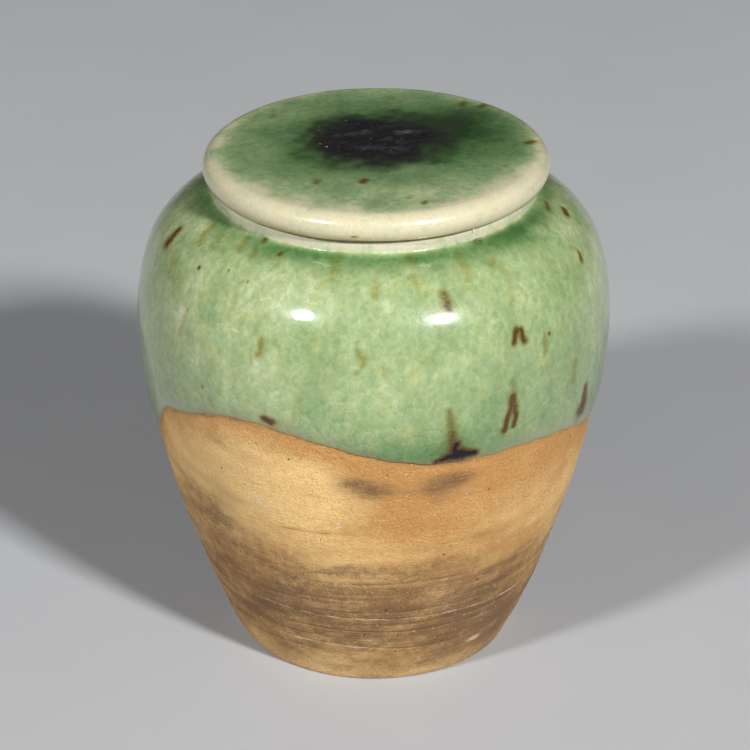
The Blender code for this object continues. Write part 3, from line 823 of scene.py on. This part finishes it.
lid_marks = [(-12.2, -18.7, -11.8, -17.6, 0.9, 1.1, 0.8), (-2.7, -18.5, -2.3, -17.4, 1, 1.1, 1),
             (6.4, -26.2, 7, -25.2, 0.9, 0.8, 0.6), (9.4, -28.6, 9.8, -27.8, 0.8, 0.7, 0.85),
             (13, -28.5, 13.2, -27.7, 0.6, 0.6, 0.5), (31.4, 2, 32.4, 3, 1.2, 1.2, 1),
             (21.8, 2, 25.4, 3.4, 1.1, 1.4, 0.55), (18.2, 22.8, 18.7, 24.4, 1.1, 1.1, 0.85),
             (22.2, 21.8, 22.8, 23, 1, 1, 0.9), (-14.2, 8.4, -13.6, 9.8, 1.1, 1.1, 0.5),
             (-17.2, -3.6, -16.8, -2.6, 1.1, 1.1, 0.45), (26, -10.4, 26.4, -9.8, 0.7, 0.7, 0.5),
             (-22, 16.4, -21.4, 17.8, 1, 1, 0.6), (3, 27, 3.4, 28, 0.9, 0.9, 0.4),
             (-27, 9, -26.6, 10.2, 0.9, 0.9, 0.5), (14, -9, 14.6, -8.2, 0.8, 0.8, 0.4)]
iron = np.zeros(x.shape)
for *stroke, strength in lid_marks:
    blob = np.exp(-0.75 * distance_to_stroke(x, y, stroke) ** 2) * (z > LID_TOP - 1.5)
    iron = np.maximum(iron, 0.86 * strength * blob)
for rim_mark in ((-7, LID_WIDEST - 1.0, 1.5, 0.3, 1.0), (9, LID_WIDEST - 1.6, 1.4, 0.35, 0.42),
                 (62, LID_WIDEST + 0.5, 1.2, 0.4, 0.5), (150, LID_WIDEST, 2.0, 0.5, 0.8),
                 (-120, LID_WIDEST - 0.8, 1.6, 0.4, 0.6)):
    iron = np.maximum(iron, patches(bearing, z, rim_mark))
toasted = unit((LID_WIDEST - 0.1 - z) / 1.9) ** 1.5 * (0.85 + 0.3 * ripples(still, 16, 49))

swept = np.concatenate(([0.0], np.cumsum(np.hypot(*np.diff(over_path[::-1], axis=0).T))))[::-1][:, None]
disc_layout = np.stack((swept * np.sin(bearing), -swept * np.cos(bearing), 0 * x), axis=-1)
edge_roll = quarter_round(np.arange(len(over_path)) / 5.0)[:, None]
thick = LID_COAT * edge_roll * (1 + 0.02 * ripples(still, 11, 50)) + 0.03 * ripples(still * (1, 1, 0), 16, 51)
drained = unit((from_centre - 17) / 17) * unit((z - LID_WIDEST) / LID_ROUND)
thick += slag - 0.4 * drained ** 2
thick[-1] = thick[-1].mean()
under = around(over_path, lid_coat_bearings, np.full(x.shape, -0.12))[under_rows]
lid_points = seated(np.concatenate((under, around(over_path, lid_coat_bearings, thick - 0.03))))


def with_under(values):
    """Values for the outer rows, after those for the rows that lie against the clay."""
    return np.concatenate((values[under_rows], values))


lid_stops = [(0.0, (0.57, 0.52, 0.35)), (0.1, (0.48, 0.48, 0.3)), (0.2, (0.34, 0.4, 0.215)),
             (0.3, (0.225, 0.305, 0.145)), (0.44, (0.145, 0.225, 0.098)), (0.6, (0.088, 0.16, 0.06)),
             (0.8, (0.04, 0.092, 0.027)), (1.0, (0.014, 0.04, 0.011))]
lid_marks_laid = {"depth": depth, "iron": iron, "scar": scar, "ember": ember, "soot": soot, "toast": toasted,
                  "disc_layout": disc_layout}
lid_glaze = turned_piece("lid_celadon", lid_points, False,
                         **{mark: with_under(values) for mark, values in lid_marks_laid.items()})
glaze, colour, peel, embossed, clear = celadon("celadon_and_slag", ["disc_layout"], lid_stops, 0.65, 1.1)
singed = glaze.noise(1.0, 3.0, 0.6, at=glaze.stretched(0.12, 0.12, 2.6))
toasting = glaze.times(glaze.mark("toast"), glaze.step(singed, 0.3, 0.68, 0.25, 1.25))
colour = glaze.mix(toasting, colour, (0.46, 0.335, 0.165))
sooty = glaze.plus(glaze.mark("soot"), glaze.centred(glaze.noise(0.5, 3.0, 0.6), 0.5))
colour = glaze.mix(glaze.step(sooty, 0.12, 0.6, 0.0, 0.8), colour, (0.022, 0.03, 0.014))
burnt = glaze.plus(glaze.mark("scar"), glaze.centred(glaze.noise(0.5, 4.0, 0.65), 0.32))
colour = glaze.mix(glaze.step(burnt, -0.12, 0.38, 0.0, 0.85), colour, (0.022, 0.032, 0.014))
ember = glaze.times(glaze.step(glaze.mark("ember"), 0.2, 0.9), glaze.step(burnt, 0.05, 0.35))
grains = glaze.noise(0.9, 4.0, 0.65)
slag_colour = glaze.ramp(grains, [(0.3, (0.004, 0.004, 0.005)), (0.54, (0.008, 0.0075, 0.009)),
                                  (0.68, (0.016, 0.014, 0.015)), (0.82, (0.06, 0.052, 0.044))])
is_slag = glaze.step(burnt, 0.16, 0.62)
colour = glaze.mix(is_slag, colour, slag_colour)
colour = glaze.mix(glaze.times(ember, 0.35), colour, (0.018, 0.011, 0.009))
# Painted glints: a few pale grey specks on the slag, painted in as highlights on its bumps.
painted_glint = glaze.times(glaze.step(glaze.cells(0.55), 0.08, 0.16, 1.0, 0.0),
                   glaze.step(glaze.cells(0.55, output="Color"), 0.7, 0.78))
colour = glaze.mix(glaze.times(painted_glint, is_slag), colour, (0.34, 0.35, 0.34))
gloss = glaze.math("MULTIPLY_ADD", grains, 0.35, 0.06)
roughness = glaze.plus(glaze.times(is_slag, gloss), 0.36)
crumbs = glaze.relief(glaze.times(is_slag, grains), 0.2, embossed)
sealed = glaze.times(clear, glaze.math("MULTIPLY_ADD", is_slag, -0.45, 1.0))
lid_glaze.data.materials.append(glaze.finish(Base_Color=colour, Roughness=roughness, Coat_Weight=sealed,
                                             Coat_Roughness=0.14, Specular_IOR_Level=0.3, Normal=crumbs,
                                             Coat_Normal=peel))
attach(lid_glaze, "lid")
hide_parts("lid_glaze")

# ----------------------------------------------------------
# The table top: a wide matt sheet of pale grey under the jar, and no part of it.
# ----------------------------------------------------------
table_mesh = bpy.data.meshes.new("table_top")
table_mesh.from_pydata([(-4, -4, -2e-5), (4, -4, -2e-5), (4, 4, -2e-5), (-4, 4, -2e-5)], [], [(0, 1, 2, 3)])
table = bpy.data.objects.new("table_top", table_mesh)
bpy.context.scene.collection.objects.link(table)
sheet = Recipe("pale_grey_sheet")
mottle = sheet.math("MULTIPLY_ADD", sheet.noise(0.02, 2.0), 0.03, 0.415)
table_mesh.materials.append(sheet.finish(
    Base_Color=sheet.mix(1.0, sheet.grey(mottle), (0.985, 1.0, 1.03), "MULTIPLY"), Roughness=0.9))

# ----------------------------------------------------------
# Two square softboxes high in front, the right one stronger, a dim even room, and a long lens looking
# down on the jar from the front.
# ----------------------------------------------------------
SOFTBOX_AWAY = 2.9
for name, azimuth, elevation, power in (("left_softbox", -40.9, 38.8, 50.0),
                                        ("right_softbox", 34.7, 36.3, 97.0)):
    light = bpy.data.lights.new(name, "AREA")
    light.shape, light.size, light.energy = "SQUARE", 0.29, power
    softbox = bpy.data.objects.new(name, light)
    turn, lift = math.radians(azimuth), math.radians(elevation)
    away = Vector((math.sin(turn) * math.cos(lift), -math.cos(turn) * math.cos(lift), math.sin(lift)))
    softbox.location = away * SOFTBOX_AWAY
    softbox.rotation_euler = away.to_track_quat("Z", "Y").to_euler()
    bpy.context.scene.collection.objects.link(softbox)

room = bpy.data.worlds.new("dim_room")
room.use_nodes = True
room.node_tree.nodes["Background"].inputs["Color"].default_value = (1.0, 1.0, 1.0, 1.0)
room.node_tree.nodes["Background"].inputs["Strength"].default_value = 0.03
bpy.context.scene.world = room
bpy.context.scene.view_settings.view_transform = "Standard"

lens = bpy.data.cameras.new("camera")
lens.lens, lens.sensor_width, lens.shift_x = 147.8, 36.0, 0.0013
camera = bpy.data.objects.new("camera", lens)
camera.location = (0.0, -0.5883, 0.3542)
camera.rotation_euler = (camera.location - Vector((0.0, 0.0, 0.0581))).to_track_quat("Z", "Y").to_euler()
bpy.context.scene.collection.objects.link(camera)
bpy.context.scene.camera = camera
